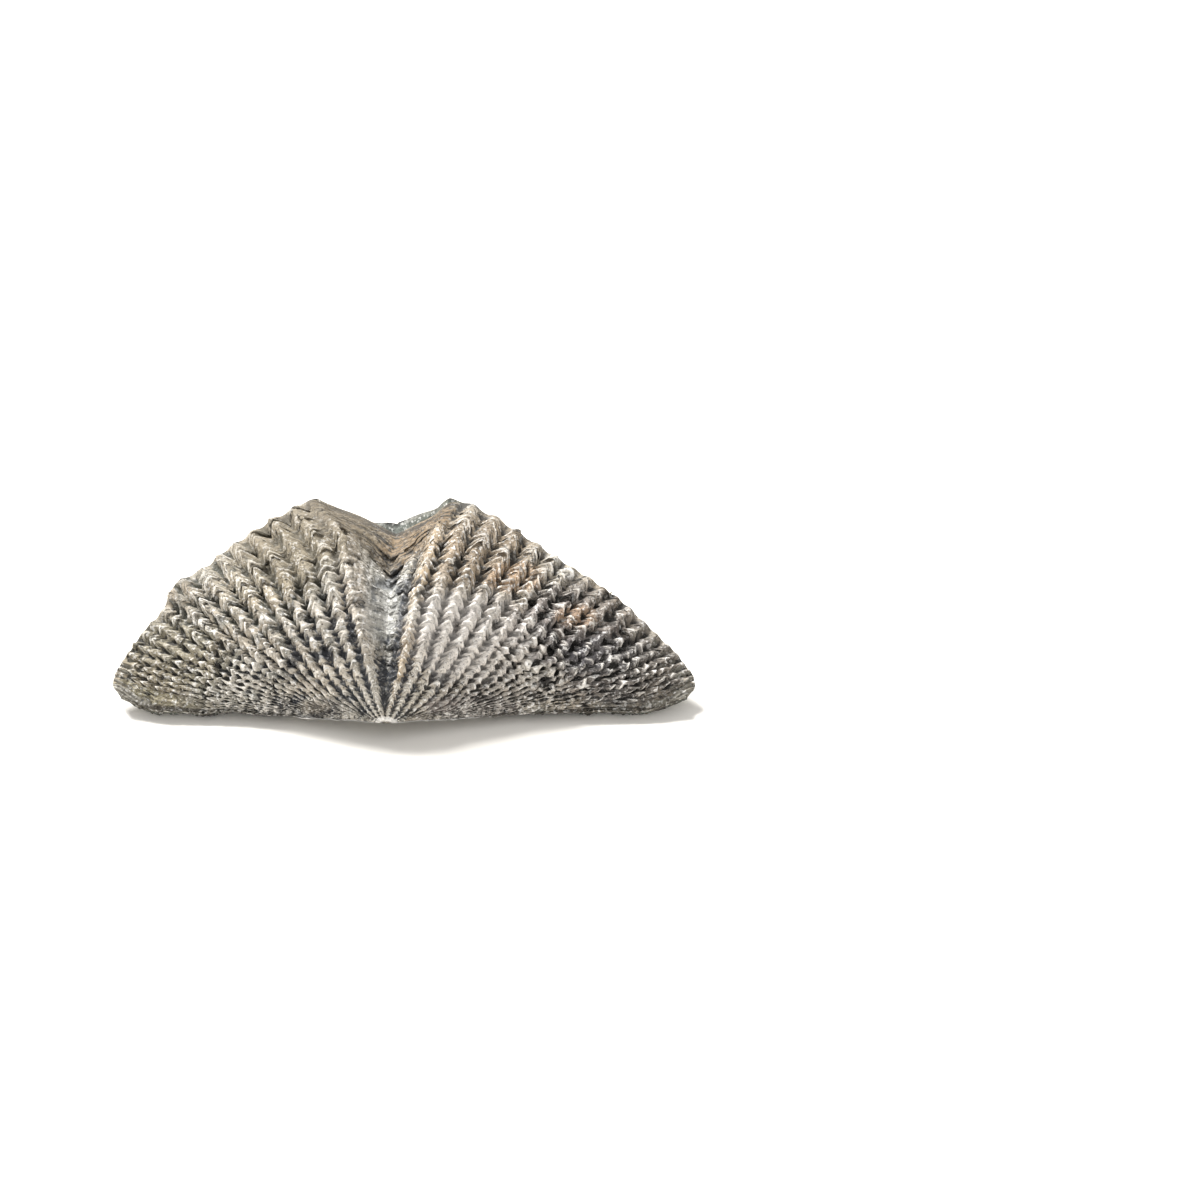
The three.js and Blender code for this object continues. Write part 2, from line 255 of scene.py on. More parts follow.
def valveSurface(valve):
    # The outside of a valve on a grid of growth stage by rib: margin scaled by the stage, coiled
    # about the hinge, carried back to the beak, then lifted along its normal by scales and grain.
    stage, ring, phase, width = growthRows()
    leftRib, rightRib = ribColumns(len(stage))
    rib = np.concatenate([leftRib, rightRib])[None, :]
    isLeft = np.concatenate([np.ones(len(leftRib), bool), np.zeros(len(rightRib), bool)])[None, :]
    signedRib = np.where(isLeft, -rib, rib)
    stage, ring, phase, width = (a[:, None] for a in (stage, ring, phase, width))
    isUpper = valve["facing"] > 0
    shifted = rib + (0 if isUpper else 0.5)     # the lower valve's crests answer the upper's furrows

    def scaleNoise(acrossRate, ringRate, cell, seed):
        # A random number for each stretch of each scale.
        grid = np.stack(np.broadcast_arrays(signedRib * acrossRate, ring * ringRate, ring * 0 + 0.5), -1)
        return softNoise(grid, cell, seed)

    # The groove: its left side falls slowly from the first rib, its right side drops into a furrow;
    # towards the front both sides are smooth walls.
    inner = np.where(isLeft, intoGroove(leftSide, rib, stage) * groove["leftFall"],
                     intoGroove(rightSide, rib, stage))
    inGroove = rib < 1
    inFurrow = inner < groove["furrowEnd"]
    floor = rise(inner, 0.55, 0.5)
    wallStart = np.where(inGroove, groove["wallStage"] + groove["wallDelay"] * rib, groove["wallCrest"])
    wallOutward = 1 - rise(rib, *zones["wallOutward"])
    wall = rise(stage, wallStart, 0.1) * wallOutward * isUpper
    forward = rise(stage, *zones["grooveOpens"])
    slope = 1 - ease(inner / (0.55 + 0.6 * forward))

    # How near a point is to a crest, rounded and pointed, in the groove and outside it.
    rightCrest = np.where(inFurrow, crestOf(inner), 0.75 * floor)
    grooveCrest = np.where(isLeft, np.maximum(slope, 0.7 * floor), rightCrest)
    crest = np.where(inGroove, grooveCrest, crestOf(shifted))
    crest = crest + (0.8 - crest) * wall
    rightPoint = np.where(inFurrow, pointOf(inner), 0.5 * floor)
    groovePoint = np.where(isLeft, np.maximum(slope, 0.5 * np.maximum(forward, floor)), rightPoint)
    point = np.where(inGroove, groovePoint, pointOf(shifted))

    # The surface holds still at the margin; scales are beads on the flanks, broken on the right one,
    # and lie flat in the front of the groove.
    hold = ease((1 - stage) / 0.03)
    beady = rise(rib, np.where(isLeft, 5, 3), 4) * (1 - rise(rib, *zones["beadsOutward"]))
    beady = beady * rise(stage, *zones["beadsForward"])
    ragged = beady * ~isLeft
    settled = np.clip(1.6 - rib, 0, 1) * rise(stage, *zones["grooveSettles"])

    # Scales reach forward to a point on each crest, and wander from side to side.
    lineNoise = scaleNoise(1.0, 3.7, 1.0, 11)
    fineNoise = scaleNoise(3.1, 5.3, 1.0, 18)
    slowNoise = scaleNoise(1.0, 1.0, 3.2, 12)
    pointing = 1 + 0.45 * rise(stage, *zones["scalesPoint"]) - 0.7 * rise(rib, np.where(isLeft, 6, 4), 5)
    push = valve["chevron"] * pointing * (0.6 * point + 0.4 * crest - 0.5)
    push = push * (1 - floor) * (1 - wall) * (1 + 0.5 * lineNoise)
    wander = (0.55 + 0.3 * beady) * lineNoise + (0.45 + 0.35 * ragged) * fineNoise + 0.7 * slowNoise
    push = push + wander * (1 - 0.85 * settled)
    push = push - 1.1 * ease(1 - rib)
    growth = stage + width * push * hold * ease(stage / 0.15)

    # Scales hang back in the middle of the groove, most of all just short of the margin.
    sag = valve["sag"] * np.clip(1 - rib, 0, 1) ** 1.2 * rise(stage, *zones["scalesSag"])
    sag = sag * np.clip((1 - stage) / 0.12, 0, 1)
    growth = np.clip(growth - sag, 0.012, 1)

    halves = [marginPoint(side, rib, growth, valve["rim"]) for side in (leftSide, rightSide)]
    x, y, z, spread = (np.where(isLeft, a, b) for a, b in zip(*halves))

    # Rib width square to the rib, |x dy - y dx| / |(x, y)|; ribs stand up by a share of it.
    perColumn = np.gradient(signedRib[0])[None, :]
    dx, dy = np.gradient(x, axis=1) / perColumn, np.gradient(y, axis=1) / perColumn
    ribWidth = np.clip(np.abs(x * dy - y * dx) / np.hypot(x, y + 0.3), 0, 1.5)
    atMargin = rise(stage, *zones["margin"])
    even = 0.5 * np.cos(2 * np.pi * rib)
    sharp = crestOf(rib) - 0.5 if isUpper else 0.5 - crestOf(rib + 0.5)
    rightRelief = np.where(inFurrow, crestOf(inner) - 0.5, -0.5 + 0.3 * floor)
    grooveRelief = np.where(isLeft, slope - 0.5, rightRelief)
    relief = np.where(inGroove, grooveRelief, sharp + (even - sharp) * atMargin)
    wallRise = rise(stage - wallStart, -0.08, 0.26) * wallOutward * isUpper
    relief = relief * (1 - wallRise * (1 - 0.3 * atMargin))
    relief = relief * (1 + (0.25 + 0.35 * beady) * lineNoise * hold)
    relief = relief * (1 - 0.4 * rise(rib, *zones["outerRibs"]) * rise(stage, 0.3, 0.3))
    flatEar = np.where(isLeft, rise(rib, *zones["leftEar"]), 0.6 * rise(rib, *zones["rightEar"]))
    flatEar = flatEar * rise(stage, *zones["earForward"]) * hold
    relief = relief * (1 - 0.95 * flatEar) * (1 - 0.25 * beady * isLeft)
    z = z + shell["ribHeight"] * ribWidth * relief * (1.2 - 0.52 * rise(growth, *zones["ribsFlatten"]))

    reach = (1 - shell["earRidge"]) * (1 - growth) ** 3 + shell["earRidge"] * (1 - growth)
    turn = valve["turn"](growth)
    atEnd = np.zeros_like(x)
    atEnd[:, [0, -1]] = shell["earEnd"] * valve["facing"]
    points = np.stack([
        growth * x,
        valve["beak"][0] * reach + growth * (y * np.cos(turn) - z * np.sin(turn)),
        valve["beak"][1] * reach + growth * (y * np.sin(turn) + z * np.cos(turn) + atEnd),
    ], -1)

    normal = np.cross(np.gradient(points, axis=1), np.gradient(points, axis=0))
    normal = normal / np.maximum(np.linalg.norm(normal, axis=-1, keepdims=True), 1e-9) * valve["facing"]

    # Each scale rises to its front edge and drops to the next: a saw with a lip on its edge. A pit
    # lies in the furrow behind each edge, and weathering has broken scales and roughened the rest.
    worn = np.clip(0.5 + 0.7 * scaleNoise(2.1, 2.3, 1.0, 13), 0.05, 1.2)
    size = np.clip(ribWidth * growth / 0.95, 0.25, 1)
    saw = phase**1.3 - 0.5 + 0.45 * rise(phase, 0.6, 0.3) * (1 - rise(phase, 0.95, 0.08))
    smooth = np.clip(floor * 0.35 + wall * 0.8 + flatEar * 0.6 + settled * 0.9, 0, 0.93)
    step = valve["scale"] * size * (0.1 + 1.25 * worn) * (1 - smooth)
    step = step * (0.35 + 0.6 * growth - 0.5 * rise(growth, 0.55, 0.4)) * (1 + 0.9 * beady + 0.4 * ragged)
    furrow = np.clip(1 - point * (1.1 + 0.4 * forward), 0, 1) * (1 - wall)
    furrow = furrow * np.clip((1 - spread) / 0.02, 0, 1)
    furrow = furrow * np.where(inGroove & isLeft, 1 - 0.8 * forward, 1) * (1 - 0.35 * rise(stage, 0.7, 0.25))
    furrow = furrow * (1 - 0.85 * flatEar)
    pit = furrow * np.exp(-((phase - 0.3) / 0.24) ** 2) * (0.5 + 0.8 * worn) * (1 + 0.6 * beady)
    grain = softNoise(points, 0.5, 14) * 0.4 + softNoise(points, 0.24, 15) * 0.4
    grain = grain + softNoise(points, 0.13, 17) * 0.3
    chip = rise(softNoise(points, 0.7, 16) + 0.35 * fineNoise, 0.42, 0.25)
    height = step * saw - valve["pit"] * size * pit + valve["grain"] * grain * ease(growth / 0.3)
    height = height - (0.1 + 0.08 * ragged) * chip * size
    middle = len(leftRib) - 1
    holeForward = np.interp(groove["pitStage"], stage[:, 0], (growth * y)[:, middle])
    holeAway = -((growth * x - groove["pitAcross"]) / groove["pitWide"]) ** 2
    holeAway = holeAway - ((growth * y - holeForward) / groove["pitLong"]) ** 2
    hole = np.exp(holeAway) * isUpper
    height = height - groove["pitDepth"] * hole
    ripple = np.cos(6.28 * (phase + 1.5 * lineNoise))
    height = height + groove["wallRipple"] * ripple * wall * (1 + lineNoise)
    points = points + normal * (height * hold)[..., None]

    # Beside the beak the hinge line stands out level as a thin lip.
    fromMiddle = np.abs(growth * x)
    lipInward = ease((shell["lipEnd"] - fromMiddle) / 1.5)
    lipShape = rise(rib, *zones["lipShape"]) * lipInward * rise(fromMiddle, 0.4, 0.6) * isUpper
    level = [0, -math.cos(shell["tip"]), math.sin(shell["tip"])]
    points = points + valve["lip"] * lipShape[..., None] * level

    # Grime and painted shade in the hollows: furrows, pits, cracks between scales, both sides of the groove,
    # and darker at the margin.
    hollowShadeAndGrime = (0.75 - 0.3 * beady) * furrow**1.2 + 0.7 * pit + 0.35 * (1 - phase) ** 2 * (1 - point)
    hollowShadeAndGrime = np.clip(hollowShadeAndGrime + 0.5 * chip - 0.3 * grain, 0, 1.3)
    # Painted shade: dark bands beside both walls of the groove.
    besideWide = np.where(isLeft, 0.2, 0.3)
    beside = np.where(inGroove, np.exp(-((inner - groove["besideAt"]) / besideWide) ** 2), 0)
    beside = beside * (1 - rise(stage, 0.62, 0.15))
    beside = beside * np.where(isLeft, 1 - forward * (0.9 - 0.7 * (1 - phase) ** 3), 1)
    hollowShadeAndGrime = np.maximum(hollowShadeAndGrime, beside * (0.8 + 0.5 * fineNoise))
    crack = np.exp(-(phase / 0.13) ** 2) * np.clip(worn + 0.1, 0, 1) * rise(stage, 0.35, 0.3)
    hollowShadeAndGrime = hollowShadeAndGrime + 0.5 * (crack * (1 - wall) * (1 - smooth))
    hollowShadeAndGrime = hollowShadeAndGrime + beady * (0.5 * pit - 0.1 + 0.35 * lineNoise * (1 - crest))
    hollowShadeAndGrime = hollowShadeAndGrime + rise(stage, *zones["darkerAtMargin"]) * (0.35 + 1.1 * fineNoise) + hole

    # Along the hinge: a smooth ledge on the left ear, a dark strip, and a painted highlight on the lip beside
    # the beak.
    strip = rise(rib, *zones["strip"]) * rise(stage, *zones["stripForward"])
    ledge = np.where(isLeft, rise(rib, *zones["ledge"]), 0) * (1 - strip) * rise(stage, *zones["earForward"])
    edge = rise(phase, 0.55, 0.35) * (0.25 + 0.75 * crest) * np.clip(worn, 0, 1) * (1 - 0.6 * smooth)
    lip = np.maximum(rise(rib, *zones["lipHighlight"]) * lipInward, ease((0.05 - stage) / 0.02))
    leftFloor = 0.75 * rise(inner, 0.3, 0.3) * forward * (isLeft & inGroove)
    grooved = np.maximum(floor * inGroove, leftFloor) * (1 - wall)
    marks = {"hollowShadeAndGrime": hollowShadeAndGrime, "edge": edge, "floor": grooved, "crest": crest, "wall": wall,
             "ring": ring + phase, "face": 0, "rib": signedRib, "lip": lip, "stage": stage,
             "strip": strip, "ledge": ledge}
    return points, {key: value + np.zeros_like(x) for key, value in marks.items()}


def valveMesh(name, valve):
    # The outside, then the face shared with the other valve, then the back between beak ridge and
    # hinge: one closed skin of rows.
    outside, marks = valveSurface(valve)
    rows, columns = outside.shape[:2]
    steps = shell["backSteps"]
    margin = outside[-1]

    # Shared face: straight in from the margin to evenly graded feet on the hinge line, and dipped
    # into its own valve so that the two faces stay apart.
    stages = growthRows()[0]
    grade = np.concatenate([stages[::-1], [0], stages])
    foot = np.where(np.arange(columns) < rows, margin[0, 0], margin[-1, 0]) * grade
    inward = ((np.arange(1, steps + 1) / steps) ** 1.5)[:, None]
    flat = np.stack(np.broadcast_arrays(
        margin[:, 0] + (foot - margin[:, 0]) * inward,
        margin[:, 1] * (1 - inward),
        margin[:, 2] * (1 - inward) ** 1.5,
    ), -1)
    rough = np.abs(softNoise(flat, 0.6, 23) + 0.5 * softNoise(flat, 0.25, 24))
    dip = (0.07 + 0.1 * rough) * ease(inward * 5) * ease((1 - inward) * 4)
    flat[..., 2] += dip * valve["facing"]

    # Back: straight from the ridge to its foot, a little hollow, with fine lines along the hinge and
    # a three-cornered opening filled with stone under the beak.
    pole = np.array([0, valve["beak"][0], valve["beak"][1]])
    ridge = np.concatenate([outside[::-1, 0], pole[None], outside[:, -1]])
    down = (np.arange(steps + 1) / steps)[None, :, None]
    back = ridge[:, None] * (1 - down) + flat[-1][:, None] * down
    away = np.array([0, -0.83, -0.56 * valve["facing"]])
    level = down[..., 0] * (1 - down[..., 0])
    dish = -0.25 * level * np.abs(back[..., 2:3].max(axis=1)) + 0.02 * softNoise(back * [0.3, 3, 3], 0.4, 21)
    inOpening = ease((valve["opening"] * down[..., 0] - np.abs(back[..., 0])) / 0.25)
    inOpening = inOpening * np.minimum(1, level * 12)
    dish = dish - inOpening * (0.32 + 0.12 * softNoise(back, 0.5, 22))
    back[:, 1:-1] = (back + away * dish[..., None])[:, 1:-1]

    inside = back[1:-1, 1:-1].reshape(-1, 3)
    points = np.concatenate([pole[None], outside.reshape(-1, 3), flat.reshape(-1, 3), inside])
    points = points + shell["ripple"] * np.stack([softNoise(points, 1.9, seed) for seed in (31, 32, 33)], -1)
    points[:, 2] = points[:, 2] + shell["seamGap"] / 2 * valve["facing"]

    # Rounded ear corners: the hinge line bends forward near its ends.
    x = points[:, 0]
    outward = np.where(x > 0, x / shell["hingeRight"], -x / shell["hingeLeft"])
    bend = shell["earRound"] * rise(outward, 0.8, 0.2) ** 1.5 * np.clip(1 - points[:, 1] / 3.2, 0, 1)
    points[:, 1] = points[:, 1] + bend

    # Faces: a fan about the beak, squares over the rest.
    grid = 1 + np.arange((rows + steps) * columns).reshape(rows + steps, columns)
    extra = 1 + grid.size + np.arange((columns - 2) * (steps - 1)).reshape(columns - 2, steps - 1)
    ridgeIndex = np.concatenate([grid[rows - 1::-1, 0], [0], grid[:rows, -1]])
    backGrid = np.empty((columns, steps + 1), int)
    backGrid[:, 0] = ridgeIndex
    backGrid[:, -1] = grid[-1]
    backGrid[0] = grid[rows - 1:, 0]
    backGrid[-1] = grid[rows - 1:, -1]
    backGrid[1:-1, 1:-1] = extra

    def quads(g):
        return np.stack([g[:-1, :-1], g[:-1, 1:], g[1:, 1:], g[1:, :-1]], -1).reshape(-1, 4)

    fan = np.stack([np.zeros(columns - 1, int), grid[0, 1:], grid[0, :-1]], -1)
    # The back's two corner faces share three points with the face below, so they are cut the other way.
    backSquares = quads(backGrid)
    first, last = backSquares[steps - 1], backSquares[-1]
    fan = np.concatenate([fan, [first[[0, 1, 3]], first[[1, 2, 3]], last[[0, 1, 2]], last[[0, 2, 3]]]])
    squares = np.concatenate([quads(grid), np.delete(backSquares, [steps - 1, len(backSquares) - 1], axis=0)])
    if valve["facing"] < 0:
        fan, squares = fan[:, ::-1], squares[:, ::-1]

    # Tipped to its rest: y and z turn about the hinge.
    c, s = math.cos(shell["tip"]), math.sin(shell["tip"])
    y, z = points[:, 1], points[:, 2]
    placed = np.stack([x, y * c - z * s, y * s + z * c], -1)

    # Marks for the material: worked out on the outside, one value each on the hidden faces.
    hidden = len(points) - 1 - rows * columns
    marks = {key: np.concatenate([[0.2], value.ravel(), np.full(hidden, 1.0 if key == "face" else 0.25)])
             for key, value in marks.items()}
    marks["across"] = x
    marks["forward"] = y * 0.946 + z * 0.326     # along the middle of the slope
    return name, placed, fan, squares, marks


def addMesh(name, points, fan, squares, marks):
    mesh = bpy.data.meshes.new(name)
    mesh.vertices.add(len(points))
    mesh.vertices.foreach_set("co", (points * 0.001).astype(np.float32).ravel())
    loops = np.concatenate([fan.ravel(), squares.ravel()])
    mesh.loops.add(len(loops))
    mesh.loops.foreach_set("vertex_index", loops.astype(np.int32))
    mesh.polygons.add(len(fan) + len(squares))
    starts = np.concatenate([np.arange(len(fan)) * 3, len(fan) * 3 + np.arange(len(squares)) * 4])
    mesh.polygons.foreach_set("loop_start", starts.astype(np.int32))
    mesh.update(calc_edges=True)
    mesh.validate()
    mesh.shade_smooth()
    for key, values in marks.items():
        mesh.attributes.new(key, "FLOAT", "POINT").data.foreach_set("value", values.astype(np.float32))
    piece = bpy.data.objects.new(name, mesh)
    bpy.context.scene.collection.objects.link(piece)
    return piece


upperValve = {
    "facing": 1,
    "beak": [-1.34, 2.0],
    "turn": lambda growth: 1.2 * (1 - growth),
    "rim": 0.0,             # how far the margin shows beyond the other valve's in the groove
    "lip": 0.07,            # how far the lip beside the beak stands out
    "sag": 0.085,           # how far the scales hang back in the groove
    "chevron": 1.6,         # share of a scale that its edge reaches forward on a crest
    "scale": 0.24,          # step from one scale to the next
    "grain": 0.14,          # roughness
    "pit": 0.22,            # depth of the pits in the furrows
    "opening": 1.5,         # half width of the opening at the hinge
}
lowerValve = {
    "facing": -1,
    "beak": [-0.12, -0.2],
    "turn": lambda growth: -1.5 * (1 - growth) * growth**0.9,
    "rim": 0.8,
    "lip": 0.0,
    "sag": 0.0,
    "chevron": 1.3,
    "scale": 0.22,
    "grain": 0.24,
    "pit": 0.18,
    "opening": 0.0,
}
made = [valveMesh("pedicle_valve_shell", upperValve), valveMesh("brachial_valve_shell", lowerValve)]
print("valve surfaces worked out")

# Where the shell lies: its outline's middle and its lowest point match the frame's.
low = np.min([m[1].min(axis=0) for m in made], axis=0)
high = np.max([m[1].max(axis=0) for m in made], axis=0)
cadMiddle = (np.array(cadLow) + np.array(cadHigh)) * 500
shift = cadMiddle - (low + high) / 2
shift[2] = cadLow[2] * 1000 - low[2]
pedicleShell, brachialShell = [addMesh(m[0], m[1] + shift, *m[2:]) for m in made]
print("valves built:", [len(m[3]) * 2 + len(m[2]) for m in made], "triangles")


class Socket:
    # Wraps a node's output so that sums and products of values add their own Math nodes.
    def __init__(self, shader, link):
        self.shader, self.link = shader, link

    def math(self, operation, other, swapped=False):
        pair = (other, self) if swapped else (self, other)
        return self.shader.node("ShaderNodeMath", {"operation": operation}, {0: pair[0], 1: pair[1]})

    def __add__(self, other): return self.math("ADD", other)
    def __radd__(self, other): return self.math("ADD", other, True)
    def __sub__(self, other): return self.math("SUBTRACT", other)
    def __rsub__(self, other): return self.math("SUBTRACT", other, True)
    def __mul__(self, other): return self.math("MULTIPLY", other)
    def __rmul__(self, other): return self.math("MULTIPLY", other, True)
    def __truediv__(self, other): return self.math("DIVIDE", other)


class Shader:
    def __init__(self, name):
        self.material = bpy.data.materials.new(name)
        self.material.use_nodes = True
        self.tree = self.material.node_tree
        self.surface = self.tree.nodes["Principled BSDF"]

    def node(self, kind, settings, inputs, output=0):
        made = self.tree.nodes.new(kind)
        for key, value in settings.items():
            setattr(made, key, value)
        for key, value in inputs.items():
            self.plug(made.inputs[key], value)
        return Socket(self, made.outputs[output])

    def plug(self, target, value):
        if isinstance(value, Socket):
            self.tree.links.new(value.link, target)
        else:
            target.default_value = value

    def attribute(self, name):
        return self.node("ShaderNodeAttribute", {"attribute_name": name}, {}, "Fac")

    def noise(self, scale, detail, roughness=0.55):
        where = self.node("ShaderNodeTexCoord", {}, {}, "Object")
        return self.node("ShaderNodeTexNoise", {}, {"Vector": where, "Scale": scale, "Detail": detail,
                                                    "Roughness": roughness})

    def bands(self, value, low, high):
        # 0 to 1 in each unit of the value, by its fractional part, smooth between low and high.
        return self.ramp(self.node("ShaderNodeMath", {"operation": "FRACT"}, {0: value}), low, high)

    def ramp(self, value, low, high):
        # 0 below low, 1 above high, smooth between.
        return self.node("ShaderNodeMapRange", {"interpolation_type": "SMOOTHSTEP"},
                         {"Value": value, "From Min": low, "From Max": high})

    def mix(self, amount, first, second, blend="MIX"):
        made = self.tree.nodes.new("ShaderNodeMix")
        made.data_type, made.blend_type = "RGBA", blend
        for key, value in ((0, amount), (6, first), (7, second)):
            self.plug(made.inputs[key], value)
        return Socket(self, made.outputs[2])


def tone(red, green, blue):
    # Screen colour, 11 to 255, as the linear colour a shader takes: ((c + 0.055) / 1.055) ^ 2.4.
    return tuple(((c / 255 + 0.055) / 1.055) ** 2.4 for c in (red, green, blue)) + (1.0,)


# Noises in the stone, as repeats in a metre.
stoneNoise = {
    "cloud": 260,
    "blotch": 900,
    "speck": 2600,
    # Noise for the painted glints and for fine bumps.
    "glintGrain": 3600,
    "fine": 5200,
    "bumpDepth": 0.00011,       # metres
    "bumpStrength": 0.8,
}


def fossilStone(name, look):
    # Weathered stone: pale ribs and scale edges with painted highlights, grime and painted shade in the
    # hollows, stains laid on by soft patches, and painted glints.
    shader = Shader(name)
    hollowShadeAndGrime, edge, crest, wall, ring, face = (
        shader.attribute(k) for k in ("hollowShadeAndGrime", "edge", "crest", "wall", "ring", "face"))
    rib, lip, stage, strip, ledge, floor = (
        shader.attribute(k) for k in ("rib", "lip", "stage", "strip", "ledge", "floor"))
    across, forward = shader.attribute("across"), shader.attribute("forward")
    cloud = shader.noise(stoneNoise["cloud"], 4)
    blotch = shader.noise(stoneNoise["blotch"], 4, 0.6)
    speck = shader.noise(stoneNoise["speck"], 3, 0.6)
    fine = shader.noise(stoneNoise["fine"], 2, 0.6)
    glintGrain = shader.noise(stoneNoise["glintGrain"], 1, 0.5)

    def patch(x, y, wide, deep):
        # Soft-edged oval: 1 - squared distance from its middle, in half widths.
        away = (across - x) * (across - x) / wide**2 + (forward - y) * (forward - y) / deep**2
        return shader.ramp(1 - away + (blotch - 0.5) * 1.2, 0.0, 0.75)

    colour = shader.mix(shader.ramp(cloud, 0.35, 0.65), look["mid"], look["warm"])
    colour = shader.mix(shader.ramp(blotch, 0.48, 0.66) * 0.6, colour, look["grey"])
    for x, y, wide, deep, stain, amount in look["patches"]:
        colour = shader.mix(patch(x, y, wide, deep) * amount, colour, stain)
    paleCrest = shader.ramp(stage, 0.72, 0.5) * crest * shader.ramp(blotch, 0.62, 0.42)
    colour = shader.mix(paleCrest * 0.45, colour, look["paleAndHighlight"])
    for number, wide, stain, amount in look["ribStains"]:
        near = shader.ramp(1 - (rib - number) * (rib - number) / wide**2, 0.0, 0.6)
        colour = shader.mix(near * shader.ramp(blotch + (cloud - 0.5), 0.4, 0.55) * amount, colour, stain)
    # Painted shade: darker towards the front margin, where the key light from behind falls most.
    colour = shader.mix(shader.ramp(stage, 0.68, 0.92) * (1 - face) * 0.4, colour, look["front"])
    # The groove's walls are brown; their dark tone is partly painted shade.
    colour = shader.mix(wall * shader.ramp(blotch, 0.3, 0.5) * 0.85, colour, look["wall"])
    colour = shader.mix(floor * 0.65, colour, look["floorGrey"])

    # Dark growth lines: thin bands of the running scale number, bold ones on the groove's walls.
    line = shader.bands(ring * 1.5 + (blotch - 0.5) * 2.2, 0.66, 0.8) * shader.ramp(speck, 0.34, 0.48)
    growthLine = shader.bands(ring * 2 + (blotch - 0.5) * 3 + (cloud - 0.5) * 4, 0.7, 0.9)
    growthLine = growthLine * shader.ramp(speck, 0.42, 0.54) * (1 - face)
    bold = shader.bands(ring * 0.55 + (blotch - 0.5) * 0.9, 0.72, 0.86) * shader.ramp(cloud, 0.4, 0.5)
    colour = shader.mix(wall * patch(*look["rustAt"]) * 0.55, colour, look["rust"])
    colour = shader.mix((wall + floor) * line * 0.9, colour, look["wallLine"])
    colour = shader.mix(wall * bold * 0.85, colour, look["wallLine"])

    # Painted highlights on the pale scale edges, then the smooth ledge on the left ear.
    paleAndHighlight = shader.ramp(edge * 1.1 + (speck - 0.5) * 1.1 + crest * 0.15, 0.35, 0.85)
    calm = (1 - shader.ramp(stage, 0.72, 0.95) * 0.45) * (1 - wall * 0.8)
    calm = calm * (1 - ledge * 0.7) * (1 - floor * 0.5)
    colour = shader.mix(paleAndHighlight * look["edgeHighlightAmount"] * calm, colour, look["paleAndHighlight"])
    colour = shader.mix(ledge * shader.ramp(blotch, 0.3, 0.55) * 0.8, colour, look["ledge"])

    # Grime and painted shade in the hollows: bluish in the middle, olive at the left front.
    grimeAndShade = shader.ramp(hollowShadeAndGrime * 1.0 + (blotch - 0.5) * 1.0 + (speck - 0.5) * 0.8, 0.25, 0.8)
    grimeAndShade = grimeAndShade * (1 - patch(*look["cleanAt"]) * 0.2)
    grimeAndShadeColour = shader.mix(patch(*look["coolAt"]), look["grimeAndShade"], look["coolGrimeAndShade"])
    grimeAndShadeColour = shader.mix(patch(*look["oliveAt"]) * 0.8, grimeAndShadeColour, look["oliveGrimeAndShade"])
    colour = shader.mix(grimeAndShade * look["grimeAndShadeAmount"], colour, grimeAndShadeColour)
    darkStrip = shader.ramp(speck + (blotch - 0.5) * 0.6, 0.66, 0.48)
    colour = shader.mix(strip * darkStrip * 0.8, colour, look["strip"])
    colour = shader.mix(growthLine * (0.4 + shader.ramp(stage, 0.5, 0.8) * 0.35), colour, look["grimeAndShade"])
    colour = shader.mix(face * 0.8, colour, look["face"])
    colour = shader.mix(shader.ramp(speck, 0.42, 0.31) * 0.8, colour, look["grimeAndShade"])

    # Painted white glints and painted highlights on scale edges where grime and painted shade leave it clean,
    # dark specks, then the glazes.
    clean = (1 - grimeAndShade * 0.65) * (1 - wall * 0.75) * (1 - shader.ramp(stage, 0.68, 0.9) * 0.45)
    colour = shader.mix(shader.ramp(glintGrain, 0.60, 0.68) * (0.3 + 0.5 * crest) * clean, colour, look["highlightWhite"])
    # Painted highlights: white on the scale edges outward of the fourth rib.
    edgeLipHighlights = shader.ramp(edge + (speck - 0.5) * 0.6, 0.62, 0.85) * shader.ramp(rib, 4.0, 8.0)
    colour = shader.mix(edgeLipHighlights * 0.75 * (1 - strip), colour, look["highlightWhite"])
    colour = shader.mix(shader.ramp(fine, 0.58, 0.68) * 0.65 * clean, colour, look["highlightWhite"])
    colour = shader.mix(shader.ramp(fine, 0.42, 0.34) * 0.55, colour, look["grimeAndShade"])
    for x, y, wide, deep, stain, amount in look["glazes"]:
        colour = shader.mix(patch(x, y, wide, deep) * amount, colour, stain)
    # Painted highlight: white along the lip beside the beak and at the beak.
    colour = shader.mix(shader.ramp(lip + (speck - 0.5) * 0.7, 0.5, 0.8) * 0.9, colour, look["highlightWhite"])
    relief = shader.node("ShaderNodeBump", {}, {
        "Strength": stoneNoise["bumpStrength"], "Distance": stoneNoise["bumpDepth"],
        "Height": speck * 0.9 + fine * 0.5 + glintGrain * 0.3 - growthLine * 0.5})
    shader.plug(shader.surface.inputs["Base Color"], colour)
    shader.plug(shader.surface.inputs["Roughness"], 0.58 + 0.3 * speck)
    shader.plug(shader.surface.inputs["Normal"], relief)
    shader.surface.inputs["Specular IOR Level"].default_value = 0.4
    return shader.material


